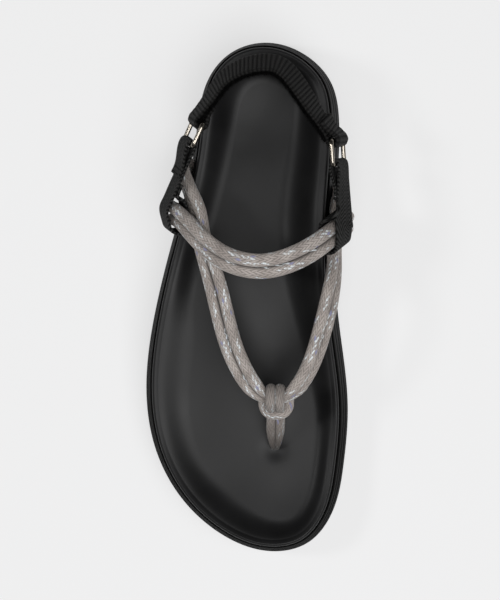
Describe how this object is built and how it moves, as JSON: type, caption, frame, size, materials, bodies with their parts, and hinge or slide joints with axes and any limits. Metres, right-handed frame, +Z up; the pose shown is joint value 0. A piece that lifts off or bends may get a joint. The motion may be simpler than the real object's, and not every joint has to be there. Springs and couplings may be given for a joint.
{
  "type": "rope sandal",
  "caption": "Right thong sandal: contoured black footbed on a lugged sole, taupe double-rope toe loop and instep band, webbing tabs, metal rings and a ribbed heel strap.",
  "frame": {"origin": "on the floor under the middle of the shoe's bounding box", "axes": "+Y from toe to heel, +X to the medial (big toe) side, +Z up"},
  "size_m": [0.1069, 0.26, 0.0812],
  "materials": {
    "outsole_rubber": "matt black rubber",
    "midsole_foam": "matt black foam with ribbed sides",
    "footbed_cover": "satin black foam with a fine grain",
    "rope": "braided cord with reflective flecks",
    "webbing": "ribbed black webbing",
    "heel_webbing": "ribbed dark grey band with a pile lining",
    "ring_metal": "polished pale metal"
  },
  "bodies": {
    "root": {"outsole": "outsole_rubber", "midsole": "midsole_foam", "footbed": "footbed_cover", "rope_upper": "rope", "toe_post": "rope", "lateral_tab": "webbing", "medial_tab": "webbing", "lateral_ring": "ring_metal", "medial_ring": "ring_metal", "heel_strap": "heel_webbing"}
  },
  "joints": []
}
